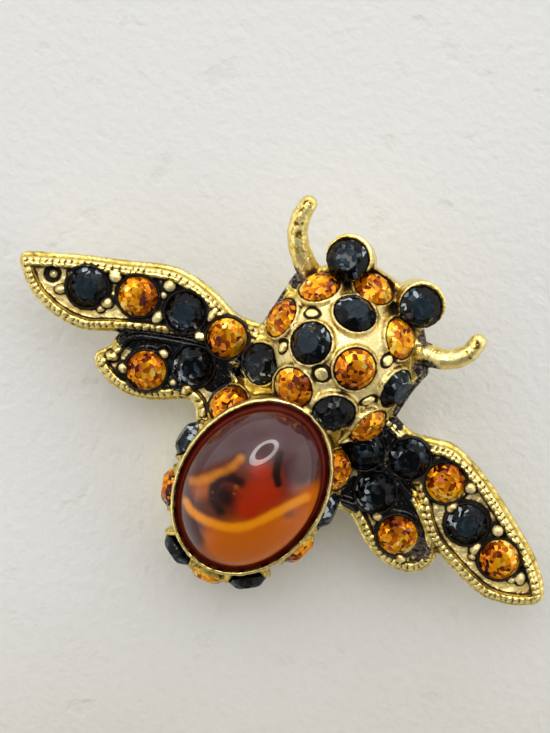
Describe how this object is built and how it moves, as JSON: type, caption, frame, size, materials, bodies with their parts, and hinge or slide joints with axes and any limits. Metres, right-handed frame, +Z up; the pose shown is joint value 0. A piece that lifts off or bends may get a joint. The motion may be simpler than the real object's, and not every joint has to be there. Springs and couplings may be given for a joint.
{
  "type": "insect brooch",
  "caption": "Bee brooch in antiqued gold-plated metal, with an oval glass cabochon for its abdomen, round faceted stones on thorax and wings, and a pin on its back.",
  "frame": {"origin": "centre of the bounding box at the surface the brooch lies on", "axes": "+Z up from the surface, +Y towards the bee's nose, +X towards the bee's wing on the right as seen from above"},
  "size_m": [0.0488, 0.0297, 0.0126],
  "materials": {
    "gold_plate": "antiqued gold plate on cast white metal, bright on the ridges and dark in the recesses",
    "pin_metal": "plain plated steel and brass pin finding",
    "amber_glass": "faceted amber glass with a foiled back",
    "jet_glass": "faceted black glass, polished",
    "cabochon_glass": "domed brown-red and orange swirled glass, polished"
  },
  "bodies": {
    "root": {"casting": "gold_plate", "pin_back": "pin_metal", "cabochon": "cabochon_glass", "eye_stone_left": "jet_glass", "eye_stone_right": "jet_glass", "thorax_stone_1": "amber_glass", "thorax_stone_2": "amber_glass", "thorax_stone_3": "amber_glass", "thorax_stone_4": "jet_glass", "thorax_stone_5": "jet_glass", "thorax_stone_6": "amber_glass", "thorax_stone_7": "amber_glass", "thorax_stone_8": "amber_glass", "thorax_stone_9": "jet_glass", "thorax_stone_10": "jet_glass", "thorax_stone_11": "amber_glass", "thorax_stone_12": "jet_glass", "wing_stone_left_1": "amber_glass", "wing_stone_left_2": "jet_glass", "wing_stone_left_3": "amber_glass", "wing_stone_left_4": "jet_glass", "wing_stone_left_5": "amber_glass", "wing_stone_left_6": "jet_glass", "wing_stone_right_1": "jet_glass", "wing_stone_right_2": "amber_glass", "wing_stone_right_3": "jet_glass", "wing_stone_right_4": "amber_glass", "wing_stone_right_5": "amber_glass", "wing_stone_right_6": "jet_glass", "wing_stone_right_7": "jet_glass", "abdomen_stone_1": "amber_glass", "abdomen_stone_2": "jet_glass", "abdomen_stone_3": "amber_glass", "abdomen_stone_4": "jet_glass", "abdomen_stone_5": "amber_glass", "abdomen_stone_6": "jet_glass", "abdomen_stone_7": "amber_glass", "abdomen_stone_8": "jet_glass", "abdomen_stone_9": "amber_glass"}
  },
  "joints": []
}
